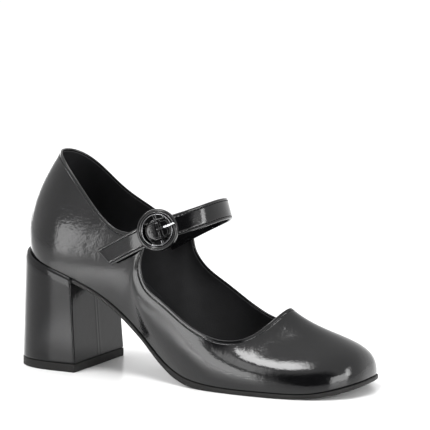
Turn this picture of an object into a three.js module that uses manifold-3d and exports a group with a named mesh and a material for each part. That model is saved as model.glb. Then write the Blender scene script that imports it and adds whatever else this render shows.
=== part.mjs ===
// A woman's mary jane shoe, right foot, with a covered block heel and one instep strap.
// Millimetres.  +X runs from heel to toe, +Y to the inner (medial) side, +Z up, and the floor is z = 0.
// The tables below are in last coordinates: x = 0 lies near the back of the heel seat and y = 0 is the
// last's centre line.  The whole group is moved so that its box is centred over the origin.
import * as THREE from 'three';
import Module from 'manifold-3d';

// ---------------------------------------------------------------- named sizes
const FRAME_SHIFT = [112.5, 0, 0];   // last coordinates of the object's origin
const WALL = 1.8;                    // upper: patent, stiffener and lining together
const GAP = 0.3;                     // clearance between pieces that meet
const HEEL_BACK = 4.0;               // feather line, rearmost x
const TOE_TIP = 225.7;               // feather line, foremost x
const HEEL_ROUND = 27.0, HEEL_POWER = 2.2;   // how the outline closes round the heel
const TOE_ROUND = 60.0, TOE_POWER = 2.55;    // how the outline closes round the toe
const WELT_OUT = 0.7;                // outsole's edge beyond the feather line
const INSOLE_THICK = 2.2, INSOLE_IN = 2.6;   // insole thickness, and its edge inside the feather line
const BREAST_X = 43.9;               // where outsole ends and heel begins, at the seat
const LIFT_THICK = 5.0;              // top piece under the heel
const HEEL_TOP = { back: 1.2, breast: 43.2, half: 28.9 };     // heel block just under its shoulder
const HEEL_FOOT = { back: -1.3, breast: 46.4, half: 30.1 };    // heel block at the top piece
const HEEL_SHOULDER = 2.4;           // rounding of the heel block under the seat
const HEEL_PLAN_POWER = 2.5;
const STRAP_WIDTH = 12.8, STRAP_THICK = 1.6;
const RING_OUT = 12.4, RING_IN = 8.7, RING_BASE = 1.0, RING_HEIGHT = 3.6, BAR_R = 0.9, BAR_N = 0.4;

// ---------------------------------------------------------------- tables
// plan half widths of the last along the feather line, before the ends are rounded
const WIDTH = [ // x, lateral, medial
  [4, 26.5, 26.5], [30, 27.5, 27], [52, 27.5, 26], [74, 26.8, 23], [96, 28.5, 22.5], [116, 33, 27],
  [136, 37.7, 34.1], [158, 39.8, 38.7], [180, 39.4, 39.9], [204, 39, 40.4], [226, 37.9, 40]];
// height of the feather line: heel seat, arch, ball, toe spring
const FEATHER = [ // x, z
  [4, 71.8], [12, 68], [24, 63.7], [42, 57.4], [58, 50.9], [74, 41.2], [90, 28], [106, 14], [120, 6.6],
  [136, 3.7], [158, 2.9], [182, 3], [204, 3.7], [226, 8.7]];
// height of the outsole's underside; it is flat on the floor at the ball
const BOTTOM = [ // x, z
  [38, 56.4], [56, 49], [72, 39.4], [90, 24.9], [106, 10.3], [117, 3.6], [127, 0.8], [136, 0], [180, 0], [204, 1.1], [216, 2.9], [228, 6.4]];
// ribs of the upper.  s: share of the way from heel to toe along the feather line; L, M: the topline's
// point on the lateral and medial side; up, out: how the wall leaves the feather line; back, drop, lean,
// fore: how it arrives at the topline (share of the way back to the feather line in plan, fall, bulge,
// and how far from behind)
const RIBS = [ // s, L, M, up, out, back, drop, lean, fore
  [0.000, [22.6, 0, 131.2], [22.6, 0, 131.2], 18, 4.2, 0.84, 20.5, 0, 0],
  [0.060, [26.6, -10.5, 129.2], [26.6, 10.5, 129.2], 17.5, 4, 0.74, 20, 0.8, 0],
  [0.122, [37, -18, 121], [37, 18, 121], 17, 3.8, 0.42, 18, 2, 0],
  [0.188, [52, -23, 106], [52, 23, 106.5], 16.5, 3.6, 0.1, 16.5, 3, 0.5],
  [0.250, [66, -26.8, 93.6], [67, 26.8, 96], 17, 3.8, 0, 16, 3.4, 1.5],
  [0.300, [78.5, -29.3, 87.7], [80, 29, 88.8], 18, 4.3, 0, 17, 3.6, 2.5],
  [0.337, [89.5, -31, 86.4], [89.4, 30.3, 85.4], 18.5, 4.7, 0, 15.5, 3.5, 5],
  [0.362, [95.6, -32.1, 81.6], [94.4, 31.1, 79.6], 18, 4.9, 0, 10.5, 3.2, 7.8],
  [0.388, [93.6, -32.5, 71.2], [96, 31.8, 71.3], 16.8, 5, 0, 5.5, 2.7, 8.4],
  [0.418, [95.9, -33.5, 59.8], [101.2, 32.9, 61.9], 15, 4.8, 0, 7, 2.4, 7],
  [0.468, [107, -35.3, 50.4], [113.5, 34.6, 52], 12.5, 4.2, 0, 9.5, 2.1, 4],
  [0.545, [122.8, -36.8, 40], [128.3, 36.2, 41.8], 10.5, 3.2, 0.02, 9, 1.8, 2],
  [0.635, [138.5, -36.8, 32], [142.5, 36, 34], 10.5, 2.7, 0.08, 8, 1.3, 1],
  [0.735, [152.5, -33.2, 29.4], [155.6, 32.8, 30.8], 13.5, 2.9, 0.2, 8.5, 0.6, 0.3],
  [0.830, [162.4, -24.8, 32], [165, 25.5, 32], 17.5, 2.2, 0.32, 11.5, -0.2, 0],
  [0.920, [169.4, -12.8, 39], [171.5, 13.2, 38.6], 22, 1.6, 0.42, 15, -0.8, 0],
  [1.000, [175, 0, 45.2], [175, 0, 45.2], 26, 1.3, 0.5, 17, -1.2, 0]];
// the strap's centre line from its tail on the lateral quarter, through the buckle, over the instep, to the
// inside of the medial quarter, with the direction of its upper edge
const STRAP = [ // centre, towards the upper edge
  [[69.5, -33.4, 72.2], [-0.43, 0.2, 0.88]],
  [[81, -34.2, 78.3], [-0.44, 0.18, 0.88]],
  [[93.4, -35, 84.7], [-0.43, 0.15, 0.89]],
  [[106.2, -33.2, 90.7], [-0.4, 0.1, 0.91]],
  [[117.1, -27.8, 94.7], [-0.34, 0.08, 0.94]],
  [[125.8, -19, 98], [-0.29, 0.05, 0.955]],
  [[130.2, -6.5, 100.3], [-0.26, 0, 0.965]],
  [[130, 7, 100.2], [-0.26, 0, 0.965]],
  [[124.6, 19, 97.6], [-0.3, -0.04, 0.955]],
  [[113.8, 26.2, 92.8], [-0.36, -0.06, 0.93]],
  [[101.3, 27.9, 86.7], [-0.43, -0.08, 0.9]],
  [[90, 26.8, 80.6], [-0.46, -0.1, 0.88]],
  [[80, 25.5, 75], [-0.47, -0.12, 0.87]]];
const TAIL_SLANT = 6.4;              // the tail's upper corner lies this much further back than its middle
const BUCKLE_ROW = 3;                // the buckle sits on this row of the table, square to the strap

// ---------------------------------------------------------------- curves
// cubic spline with continuous curvature through rows [t, ...values]; closed when a period is given
function spline(t, v, period) {
  t = t.slice(); v = v.map(r => r.slice());
  if (period) { t.push(t[0] + period); v.push(v[0].slice()); }
  const n = t.length, k = v[0].length, h = t.slice(1).map((x, i) => x - t[i]);
  const A = Array.from({ length: n }, () => new Array(n + k).fill(0));
  for (let i = 1; i < n - 1; i++) {
    A[i][i - 1] = h[i - 1]; A[i][i] = 2 * (h[i - 1] + h[i]); A[i][i + 1] = h[i];
    for (let j = 0; j < k; j++) A[i][n + j] = 6 * ((v[i + 1][j] - v[i][j]) / h[i] - (v[i][j] - v[i - 1][j]) / h[i - 1]);
  }
  if (period) {
    A[0][0] = 1; A[0][n - 1] = -1;
    A[n - 1][0] = 2 * h[0]; A[n - 1][1] = h[0]; A[n - 1][n - 2] = h[n - 2]; A[n - 1][n - 1] += 2 * h[n - 2];
    for (let j = 0; j < k; j++) A[n - 1][n + j] = 6 * ((v[1][j] - v[0][j]) / h[0] - (v[n - 1][j] - v[n - 2][j]) / h[n - 2]);
  } else { A[0][0] = 1; A[n - 1][n - 1] = 1; }
  for (let c = 0; c < n; c++) {
    let p = c; for (let r = c + 1; r < n; r++) if (Math.abs(A[r][c]) > Math.abs(A[p][c])) p = r;
    [A[c], A[p]] = [A[p], A[c]];
    for (let r = 0; r < n; r++) if (r !== c && A[r][c]) {
      const f = A[r][c] / A[c][c]; for (let q = c; q < n + k; q++) A[r][q] -= f * A[c][q];
    }
  }
  const m = A.map((row, i) => row.slice(n).map(x => x / A[i][i]));
  return x => {
    if (period) x = ((x - t[0]) % period + period) % period + t[0];
    let i = 0; while (i < n - 2 && x > t[i + 1]) i++;
    const a = (t[i + 1] - x) / h[i], b = (x - t[i]) / h[i];
    return v[i].map((_, j) => a * v[i][j] + b * v[i + 1][j] + ((a ** 3 - a) * m[i][j] + (b ** 3 - b) * m[i + 1][j]) * h[i] ** 2 / 6);
  };
}
// curve through rows [x, y] that never overshoots them, so a flat stays flat
function monotone(rows) {
  const n = rows.length, h = [], d = [], m = [];
  for (let i = 0; i < n - 1; i++) { h[i] = rows[i + 1][0] - rows[i][0]; d[i] = (rows[i + 1][1] - rows[i][1]) / h[i]; }
  for (let i = 1; i < n - 1; i++) {
    const w1 = 2 * h[i] + h[i - 1], w2 = h[i] + 2 * h[i - 1];
    m[i] = d[i - 1] * d[i] > 0 ? (w1 + w2) / (w1 / d[i - 1] + w2 / d[i]) : 0;
  }
  m[0] = d[0]; m[n - 1] = d[n - 2];
  return x => {
    x = Math.min(Math.max(x, rows[0][0]), rows[n - 1][0]);
    let i = 0; while (i < n - 2 && x > rows[i + 1][0]) i++;
    const t = (x - rows[i][0]) / h[i];
    return rows[i][1] * (2 * t ** 3 - 3 * t * t + 1) + h[i] * m[i] * (t ** 3 - 2 * t * t + t)
      + rows[i + 1][1] * (3 * t * t - 2 * t ** 3) + h[i] * m[i + 1] * (t ** 3 - t * t);
  };
}
const add = (a, b, f = 1) => [a[0] + f * b[0], a[1] + f * b[1], a[2] + f * b[2]];
const sub = (a, b) => add(a, b, -1);
const dot = (a, b) => a[0] * b[0] + a[1] * b[1] + a[2] * b[2];
const cross = (a, b) => [a[1] * b[2] - a[2] * b[1], a[2] * b[0] - a[0] * b[2], a[0] * b[1] - a[1] * b[0]];
const unit = a => { const l = Math.hypot(...a); return a.map(x => x / l); };
const mix = (a, b, t) => a + (b - a) * t;

// ---------------------------------------------------------------- the last's outline and upper surface
const widthAt = spline(WIDTH.map(r => r[0]), WIDTH.map(r => r.slice(1)));
const featherAt = spline(FEATHER.map(r => r[0]), FEATHER.map(r => r.slice(1)));
const featherZ = x => featherAt(Math.min(Math.max(x, HEEL_BACK - 4), TOE_TIP + 3))[0];
const bottomZ = monotone(BOTTOM);
// half widths at x of the outline grown by e all round
function halfWidths(x, e) {
  const a = Math.min(Math.max((HEEL_BACK - e + HEEL_ROUND - x) / HEEL_ROUND, 0), 1);
  const b = Math.min(Math.max((x - (TOE_TIP + e - TOE_ROUND)) / TOE_ROUND, 0), 1);
  const c = (1 - a ** HEEL_POWER) ** (1 / HEEL_POWER) * (1 - b ** TOE_POWER) ** (1 / TOE_POWER);
  const [l, m] = widthAt(Math.min(Math.max(x, HEEL_BACK), TOE_TIP));
  return [(l + e) * c, (m + e) * c];
}
// the feather line in plan as one closed curve of 0..1: heel back, lateral side, toe, medial side
const plan = (() => {
  const N = 3000, side = [[], []];
  for (let i = 0; i <= N; i++) {
    const x = HEEL_BACK + (TOE_TIP - HEEL_BACK) * (1 - Math.cos(Math.PI * i / N)) / 2, [l, m] = halfWidths(x, 0);
    side[0].push([x, -l]); side[1].push([x, m]);
  }
  const along = side.map(P => { const d = [0]; for (let i = 1; i <= N; i++) d.push(d[i - 1] + Math.hypot(P[i][0] - P[i - 1][0], P[i][1] - P[i - 1][1])); return d.map(x => x / d[N]); });
  const at = (k, s) => {
    let lo = 0, hi = N; while (hi - lo > 1) { const q = (lo + hi) >> 1; if (along[k][q] <= s) lo = q; else hi = q; }
    const f = (s - along[k][lo]) / (along[k][hi] - along[k][lo] || 1);
    return [mix(side[k][lo][0], side[k][hi][0], f), mix(side[k][lo][1], side[k][hi][1], f)];
  };
  const M = 64, t = [], v = [];
  for (let i = 0; i < M; i++) { t.push(i / M); v.push(i <= M / 2 ? at(0, 2 * i / M) : at(1, 2 - 2 * i / M)); }
  return spline(t, v, 1);
})();
const ringRows = RIBS.map(r => [r[0] / 2, r[1], r.slice(3)]).concat(RIBS.slice(1, -1).reverse().map(r => [1 - r[0] / 2, r[2], r.slice(3)]));
const topline = spline(ringRows.map(r => r[0]), ringRows.map(r => r[1]), 1);
const ribShape = spline(ringRows.map(r => r[0]), ringRows.map(r => r[2]), 1);
// point of the upper's outer surface: u round the shoe, w from the feather line (0) to the topline (1)
function upperAt(u, w) {
  const e = 1e-4, p = plan(u), a = plan(u - e), b = plan(u + e);
  const d = unit([b[0] - a[0], b[1] - a[1], 0]), out = [d[1], -d[0], 0];
  const F = [p[0], p[1], featherZ(p[0])], T = topline(u), [up, o, back, drop, lean, fore] = ribShape(u);
  const P1 = add(add(F, out, o), [0, 0, up]);
  const P2 = add(add(add(T, [F[0] - T[0], F[1] - T[1], 0], back), out, lean), [-fore, 0, -drop]);
  const v = 1 - w;
  return [0, 1, 2].map(i => v ** 3 * F[i] + 3 * v * v * w * P1[i] + 3 * v * w * w * P2[i] + w ** 3 * T[i]);
}
function upperNormal(u, w) {
  const e = 1e-3, w0 = Math.max(w - e, 0), w1 = Math.min(w + e, 1);
  return unit(cross(sub(upperAt(u + e, w), upperAt(u - e, w)), sub(upperAt(u, w1), upperAt(u, w0))));
}

// ---------------------------------------------------------------- solids from grids
// closed body from triangles: equal corners are merged and empty triangles dropped
function body(tris) {
  const key = new Map(), pos = [], idx = [];
  const id = p => {
    const k = p.map(x => Math.round(x * 2e3)).join(',');
    if (!key.has(k)) { key.set(k, pos.length / 3); pos.push(...p); } return key.get(k);
  };
  for (const t of tris) { const [a, b, c] = t.map(id); if (a !== b && b !== c && c !== a) idx.push(a, b, c); }
  const g = new THREE.BufferGeometry();
  g.setAttribute('position', new THREE.Float32BufferAttribute(pos, 3)); g.setIndex(idx); g.computeVertexNormals();
  return g;
}
const quad = (out, a, b, c, d) => out.push([a, b, c], [a, c, d]);
// a block bent to shape: P(i, j, k) with each from 0 to 1; faces i and j and k ends all closed
function block(ni, nj, nk, P) {
  const T = [], g = (i, j, k) => P(i / ni, j / nj, k / nk);
  for (let i = 0; i < ni; i++) for (let j = 0; j < nj; j++) {
    quad(T, g(i, j, 0), g(i, j + 1, 0), g(i + 1, j + 1, 0), g(i + 1, j, 0));
    quad(T, g(i, j, nk), g(i + 1, j, nk), g(i + 1, j + 1, nk), g(i, j + 1, nk));
  }
  for (let i = 0; i < ni; i++) for (let k = 0; k < nk; k++) {
    quad(T, g(i, 0, k), g(i + 1, 0, k), g(i + 1, 0, k + 1), g(i, 0, k + 1));
    quad(T, g(i, nj, k), g(i, nj, k + 1), g(i + 1, nj, k + 1), g(i + 1, nj, k));
  }
  for (let j = 0; j < nj; j++) for (let k = 0; k < nk; k++) {
    quad(T, g(0, j, k), g(0, j, k + 1), g(0, j + 1, k + 1), g(0, j + 1, k));
    quad(T, g(ni, j, k), g(ni, j + 1, k), g(ni, j + 1, k + 1), g(ni, j, k + 1));
  }
  return body(T);
}
// a closed ring of closed sections: P(a, b) with a round the ring and b round the section
function hoop(na, nb, P) {
  const T = [], G = Array.from({ length: na }, (_, a) => Array.from({ length: nb }, (_, b) => P(a, b)));
  for (let a = 0; a < na; a++) for (let b = 0; b < nb; b++) {
    const c = (a + 1) % na, d = (b + 1) % nb; quad(T, G[a][b], G[c][b], G[c][d], G[a][d]);
  }
  return body(T);
}

// ---------------------------------------------------------------- upper
const UPPER_ROUND = 76, UPPER_RISE = 10, UPPER_RISE_IN = 8;
function upperSolid() {
  const outer = Array.from({ length: UPPER_RISE + 1 }, (_, i) => i / UPPER_RISE);
  const inner = Array.from({ length: UPPER_RISE_IN + 1 }, (_, i) => 1 - i / UPPER_RISE_IN);
  const section = [...outer.map(w => [w, 0]), [1, 0.5], ...inner.map(w => [w, 1])];
  return hoop(UPPER_ROUND, section.length, (a, b) => {
    const u = a / UPPER_ROUND, [w, depth] = section[b], p = upperAt(u, w);
    if (!depth) return p;
    const n = upperNormal(u, w), q = add(p, n, -WALL * depth);
    if (depth === 0.5) return add(q, unit(sub(upperAt(u, 1), upperAt(u, 0.98))), 0.5);   // rounded collar edge
    if (w === 0) q[2] = featherZ(q[0]);
    return q;
  });
}
// ---------------------------------------------------------------- sole pieces, ruled across the shoe
const ease = t => (1 - Math.cos(Math.PI * t)) / 2;
function insoleSolid() {
  return block(36, 1, 1, (i, j, k) => {
    const x = mix(HEEL_BACK + INSOLE_IN, TOE_TIP - INSOLE_IN, ease(i)), [l, m] = halfWidths(x, -INSOLE_IN);
    return [x, mix(-l, m, j), featherZ(x) + 0.25 + INSOLE_THICK * k];
  });
}
function outsoleSolid() {
  return block(44, 1, 2, (i, j, k) => {
    const e = WELT_OUT - (k === 0.5 ? 0 : 0.5);
    const x = mix(BREAST_X, TOE_TIP + e, mix(i, Math.sin(Math.PI / 2 * i), 0.55 + 0.45 * i)), [l, m] = halfWidths(x, e);
    return [x, mix(-l, m, j), mix(bottomZ(x), featherZ(x) - GAP, k)];
  });
}
function heelPlan(t, j, s) {   // t from back to breast, j across, s one of the heel's plan sizes
  const x = mix(s.back, s.breast, t * t * (1.6 - 0.6 * t)), r = s.round ?? 34;
  const a = Math.min(Math.max((s.back + r - x) / r, 0), 1);
  return [x, mix(-1, 1, j) * s.half * (1 - a ** HEEL_PLAN_POWER) ** (1 / HEEL_PLAN_POWER)];
}
const heelSizes = f => ({ back: mix(HEEL_FOOT.back, HEEL_TOP.back, f), breast: mix(HEEL_FOOT.breast, HEEL_TOP.breast, f), half: mix(HEEL_FOOT.half, HEEL_TOP.half, f) });
function heelSolid() {
  const rows = [0, 0.2, 0.4, 0.6, 0.8, 0.93, 0.975, 1];
  return block(16, 1, rows.length - 1, (i, j, k) => {
    const f = rows[Math.round(k * (rows.length - 1))], s = heelSizes(f);
    const r = f < 0.93 ? 0 : f === 0.93 ? 0 : f === 0.975 ? 0.35 : 1;
    s.back += HEEL_SHOULDER * r; s.half -= HEEL_SHOULDER * 0.55 * r;
    const [x, y] = heelPlan(i, j, s);
    return [x, y, mix(LIFT_THICK + GAP, featherZ(x) - GAP, f)];
  });
}
function liftSolid() {
  return block(16, 1, 1, (i, j, k) => {
    const [x, y] = heelPlan(i, j, HEEL_FOOT);
    return [x, y, LIFT_THICK * k];
  });
}
const smooth = t => { t = Math.min(Math.max(t, 0), 1); return t * t * (3 - 2 * t); };
// ---------------------------------------------------------------- strap, buckle and its tab
const strapCurve = (() => {
  const d = [0]; for (let i = 1; i < STRAP.length; i++) d.push(d[i - 1] + Math.hypot(...sub(STRAP[i][0], STRAP[i - 1][0])));
  const f = spline(d, STRAP.map(r => [...r[0], ...r[1]]));
  return { length: d[d.length - 1], buckle: d[BUCKLE_ROW], at: s => f(s) };
})();
// strap point: s along, c across (mm, up positive), n through the thickness (mm, outward positive)
function besideStrap(s, c, n) {
  const q = strapCurve.at(s), e = 0.05, a = strapCurve.at(s - e), b = strapCurve.at(s + e);
  const t = unit(sub(b.slice(0, 3), a.slice(0, 3)));
  let w = q.slice(3); w = unit(sub(w, t.map(x => x * dot(w, t))));
  return add(add(q.slice(0, 3), w, c), cross(t, w), n);
}
const BUCKLE_AT = besideStrap(strapCurve.buckle, 0, 0), E2 = sub(besideStrap(strapCurve.buckle, 1, 0), BUCKLE_AT);
const EN = sub(besideStrap(strapCurve.buckle, 0, 1), BUCKLE_AT), E1 = cross(E2, EN);
const inBuckle = (s, n, c) => add(add(add(BUCKLE_AT, E1, s), EN, n), E2, c);
function strapAt(s, c, n) {
  // sinks under the ring and swells inside it, over its bar, lower on the side the prong lies
  const r = s - strapCurve.buckle, swell = smooth((8.0 - Math.hypot(r, c)) / 2.6) * (1 - 0.55 * smooth((r - 0.4) / 2.4));
  return besideStrap(s, c, n + (-0.4 + 4.3 * swell) * Math.exp(-((r / 16) ** 4)));
}
function strapSolid() {
  const NS = 84, L = strapCurve.length;
  return block(NS, 6, 1, (i, j, k) => {
    const c = (j - 0.5) * STRAP_WIDTH, tail = -TAIL_SLANT * (j - 0.5) * Math.max(0, 1 - i * 8);
    return strapAt(i * L + tail, c, (k - 0.5) * STRAP_THICK);
  });
}
function ringSolid() {
  const R = RING_OUT, r = RING_IN, z0 = RING_BASE, h = RING_HEIGHT;
  const profile = [[r + 0.5, z0], [R - 0.7, z0], [R, z0 + 0.8], [R, z0 + h * 0.55], [R - 0.7, z0 + h * 0.86],
    [R - 1.7, z0 + h], [r + 0.7, z0 + h * 0.86], [r, z0 + h * 0.6], [r, z0 + 0.5]];
  const N = 40;
  return hoop(N, profile.length, (a, b) => {
    const t = 2 * Math.PI * a / N, [q, z] = profile[b]; return inBuckle(q * Math.cos(t), z, q * Math.sin(t));
  });
}
function barSolid() {
  const N = 10, L = RING_OUT - 1.2, T = [];
  const p = (a, c) => inBuckle(BAR_R * Math.cos(2 * Math.PI * a / N), BAR_N + BAR_R * Math.sin(2 * Math.PI * a / N), c);
  for (let a = 0; a < N; a++) {
    const b = (a + 1) % N;
    quad(T, p(a, -L), p(a, L), p(b, L), p(b, -L));
    T.push([inBuckle(0, BAR_N, -L), p(a, -L), p(b, -L)], [inBuckle(0, BAR_N, L), p(b, L), p(a, L)]);
  }
  return body(T);
}
// the tab: a doubled strip from inside the lateral quarter that loops round the buckle's bar
const TAB_WIDTH = 9.0, TAB_THICK = 0.9;
const TAB_LEG = [ // s along the strap from the bar, n of the leg's middle, half thickness
  [-24.0, -6.9, 0.7], [-20.0, -6.8, 0.7], [-16.0, -6.5, 0.7], [-12.5, -6.1, 0.7], [-9.5, -5.3, 0.7], [-6.8, -3.9, 0.7], [-4.2, -2.3, 0.7]];
function tabSolid() {
  const eye = BAR_R + GAP, rim = eye + TAB_THICK, N = 16, pts = [];
  for (const [s, n, h] of TAB_LEG) pts.push([s, n - h]);
  for (let i = 0; i <= N; i++) { const a = mix(-100, 175, i / N) * Math.PI / 180; pts.push([rim * Math.cos(a), BAR_N + rim * Math.sin(a)]); }
  for (const [s, n, h] of TAB_LEG.slice().reverse()) pts.push([s, n + h]);
  const shape = new THREE.Shape(pts.map(p => new THREE.Vector2(...p)));
  const hole = new THREE.Path(); hole.absarc(0, BAR_N, eye, 0, 2 * Math.PI, true);
  shape.holes.push(new THREE.Path(hole.getPoints(6)));
  const flat = new THREE.ExtrudeGeometry(shape, { depth: TAB_WIDTH, bevelEnabled: false, curveSegments: 12 });
  const g = flat.toNonIndexed ? (flat.index ? flat.toNonIndexed() : flat) : flat, P = g.getAttribute('position'), T = [];
  const at = i => {   // the eye sits square to the bar, the leg follows the strap
    const s = P.getX(i), n = P.getY(i), c = TAB_WIDTH / 2 - P.getZ(i), f = Math.min(Math.max((s + 7) / 4, 0), 1);
    const A = besideStrap(strapCurve.buckle + s, c, n), B = inBuckle(s, n, c); return A.map((x, j) => mix(x, B[j], f));
  };
  for (let i = 0; i < P.count; i += 3) T.push([at(i), at(i + 1), at(i + 2)]);
  return body(T);
}
// the prong: hinged on the bar, through the strap, its tip on the ring
function prongSolid() {
  const rows = [ // s along the strap, n above the strap's plane, radius
    [0.4, 5.65, 0.62], [3.0, 5.4, 0.66], [6.0, 5.2, 0.66], [8.4, 5.4, 0.64], [10.4, 5.6, 0.56], [11.3, 5.55, 0.34]];
  const N = 8, T = [], p = (i, a) => inBuckle(rows[i][0], rows[i][1] + rows[i][2] * Math.sin(2 * Math.PI * a / N), rows[i][2] * Math.cos(2 * Math.PI * a / N));
  for (let i = 0; i < rows.length - 1; i++) for (let a = 0; a < N; a++) quad(T, p(i, a), p(i, (a + 1) % N), p(i + 1, (a + 1) % N), p(i + 1, a));
  const e = rows.length - 1;
  for (let a = 1; a < N - 1; a++) T.push([p(0, 0), p(0, a + 1), p(0, a)], [p(e, 0), p(e, a), p(e, a + 1)]);
  return body(T);
}

// ---------------------------------------------------------------- joining the ring and its bar
const wasm = await Module(); wasm.setup();
const toSolid = g => new wasm.Manifold(new wasm.Mesh({ numProp: 3, vertProperties: new Float32Array(g.getAttribute('position').array), triVerts: new Uint32Array(g.index.array) }));
function fromSolid(m) {
  const k = m.getMesh(), T = [], v = i => [0, 1, 2].map(j => k.vertProperties[i * k.numProp + j]);
  for (let i = 0; i < k.triVerts.length; i += 3) T.push([v(k.triVerts[i]), v(k.triVerts[i + 1]), v(k.triVerts[i + 2])]);
  return body(T);
}
const buckleSolid = () => fromSolid(toSolid(ringSolid()).add(toSolid(barSolid())));

// ---------------------------------------------------------------- the shoe
const finish = (color, roughness, metalness = 0) => new THREE.MeshStandardMaterial({ color, roughness, metalness });
const patent = finish(0x0b0b0d, 0.12), sock = finish(0x121214, 0.5), rubber = finish(0x1d1d1f, 0.7), metal = finish(0xc8c8cc, 0.2, 1);
const group = new THREE.Group();
group.position.set(-FRAME_SHIFT[0], -FRAME_SHIFT[1], -FRAME_SHIFT[2]);
for (const [name, make, material] of [
  ['upper', upperSolid, patent], ['insole', insoleSolid, sock], ['outsole', outsoleSolid, rubber], ['heel', heelSolid, patent],
  ['heel_lift', liftSolid, rubber], ['strap', strapSolid, patent], ['buckle', buckleSolid, patent], ['buckle_tab', tabSolid, patent],
  ['buckle_prong', prongSolid, metal]]) {
  const mesh = new THREE.Mesh(make(), material); mesh.name = name; group.add(mesh);
}
export default group;
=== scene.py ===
# Looks for the mary jane shoe.  Metres, +X to the toe, +Y to the inner side, +Z up; the tables are in
# millimetres in last coordinates (x = 0 near the back of the heel seat), moved by FRAME_SHIFT.
import bpy, math
import numpy as np
from mathutils import Vector, Matrix


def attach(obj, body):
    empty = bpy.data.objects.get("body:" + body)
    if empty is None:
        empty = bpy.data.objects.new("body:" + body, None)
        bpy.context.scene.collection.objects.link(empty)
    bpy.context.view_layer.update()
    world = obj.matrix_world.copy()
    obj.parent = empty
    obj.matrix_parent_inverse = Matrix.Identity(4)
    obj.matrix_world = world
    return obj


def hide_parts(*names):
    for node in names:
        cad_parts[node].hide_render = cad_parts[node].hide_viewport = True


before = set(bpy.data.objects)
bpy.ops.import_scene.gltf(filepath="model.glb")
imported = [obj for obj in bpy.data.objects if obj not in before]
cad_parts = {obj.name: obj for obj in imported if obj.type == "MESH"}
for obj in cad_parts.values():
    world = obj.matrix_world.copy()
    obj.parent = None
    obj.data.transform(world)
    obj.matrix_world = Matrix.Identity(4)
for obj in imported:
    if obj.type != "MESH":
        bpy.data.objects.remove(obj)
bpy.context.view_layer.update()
FRAME_SHIFT = np.array([112.5, 0.0, 0.0])

# ------------------------------------------------------------------ named sizes, as in the solids
WALL, GAP = 1.8, 0.3
HEEL_BACK, TOE_TIP = 4.0, 225.7
HEEL_ROUND, HEEL_POWER, TOE_ROUND, TOE_POWER = 27.0, 2.2, 60.0, 2.55
WELT_OUT = 0.7
INSOLE_THICK, INSOLE_IN = 2.2, 2.6
BREAST_X, LIFT_THICK = 43.9, 5.0
HEEL_TOP = dict(back=1.2, breast=43.2, half=28.9)
HEEL_FOOT = dict(back=-1.3, breast=46.4, half=30.1)
HEEL_SHOULDER, HEEL_PLAN_POWER = 2.4, 2.5
STRAP_WIDTH, STRAP_THICK = 12.8, 1.6
RING_OUT, RING_IN, RING_BASE, RING_HEIGHT, BAR_R, BAR_N = 12.4, 8.7, 1.0, 3.6, 0.9, 0.4
WIDTH = [(4, 26.5, 26.5), (30, 27.5, 27), (52, 27.5, 26), (74, 26.8, 23), (96, 28.5, 22.5), (116, 33, 27), (136, 37.7, 34.1),
    (158, 39.8, 38.7), (180, 39.4, 39.9), (204, 39, 40.4), (226, 37.9, 40)]
FEATHER = [(4, 71.8), (12, 68), (24, 63.7), (42, 57.4), (58, 50.9), (74, 41.2), (90, 28), (106, 14), (120, 6.6),
    (136, 3.7), (158, 2.9), (182, 3), (204, 3.7), (226, 8.7)]
BOTTOM = [(38, 56.4), (56, 49), (72, 39.4), (90, 24.9), (106, 10.3), (117, 3.6), (127, 0.8), (136, 0), (180, 0),
    (204, 1.1), (216, 2.9), (228, 6.4)]
RIBS = [  # s, lateral, medial, up, out, back, drop, lean, fore
    (0.000, (22.6, 0, 131.2), (22.6, 0, 131.2), 18, 4.2, 0.84, 20.5, 0, 0),
    (0.060, (26.6, -10.5, 129.2), (26.6, 10.5, 129.2), 17.5, 4, 0.74, 20, 0.8, 0),
    (0.122, (37, -18, 121), (37, 18, 121), 17, 3.8, 0.42, 18, 2, 0),
    (0.188, (52, -23, 106), (52, 23, 106.5), 16.5, 3.6, 0.1, 16.5, 3, 0.5),
    (0.250, (66, -26.8, 93.6), (67, 26.8, 96), 17, 3.8, 0, 16, 3.4, 1.5),
    (0.300, (78.5, -29.3, 87.7), (80, 29, 88.8), 18, 4.3, 0, 17, 3.6, 2.5),
    (0.337, (89.5, -31, 86.4), (89.4, 30.3, 85.4), 18.5, 4.7, 0, 15.5, 3.5, 5),
    (0.362, (95.6, -32.1, 81.6), (94.4, 31.1, 79.6), 18, 4.9, 0, 10.5, 3.2, 7.8),
    (0.388, (93.6, -32.5, 71.2), (96, 31.8, 71.3), 16.8, 5, 0, 5.5, 2.7, 8.4),
    (0.418, (95.9, -33.5, 59.8), (101.2, 32.9, 61.9), 15, 4.8, 0, 7, 2.4, 7),
    (0.468, (107, -35.3, 50.4), (113.5, 34.6, 52), 12.5, 4.2, 0, 9.5, 2.1, 4),
    (0.545, (122.8, -36.8, 40), (128.3, 36.2, 41.8), 10.5, 3.2, 0.02, 9, 1.8, 2),
    (0.635, (138.5, -36.8, 32), (142.5, 36, 34), 10.5, 2.7, 0.08, 8, 1.3, 1),
    (0.735, (152.5, -33.2, 29.4), (155.6, 32.8, 30.8), 13.5, 2.9, 0.2, 8.5, 0.6, 0.3),
    (0.830, (162.4, -24.8, 32), (165, 25.5, 32), 17.5, 2.2, 0.32, 11.5, -0.2, 0),
    (0.920, (169.4, -12.8, 39), (171.5, 13.2, 38.6), 22, 1.6, 0.42, 15, -0.8, 0),
    (1.000, (175, 0, 45.2), (175, 0, 45.2), 26, 1.3, 0.5, 17, -1.2, 0)]
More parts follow.
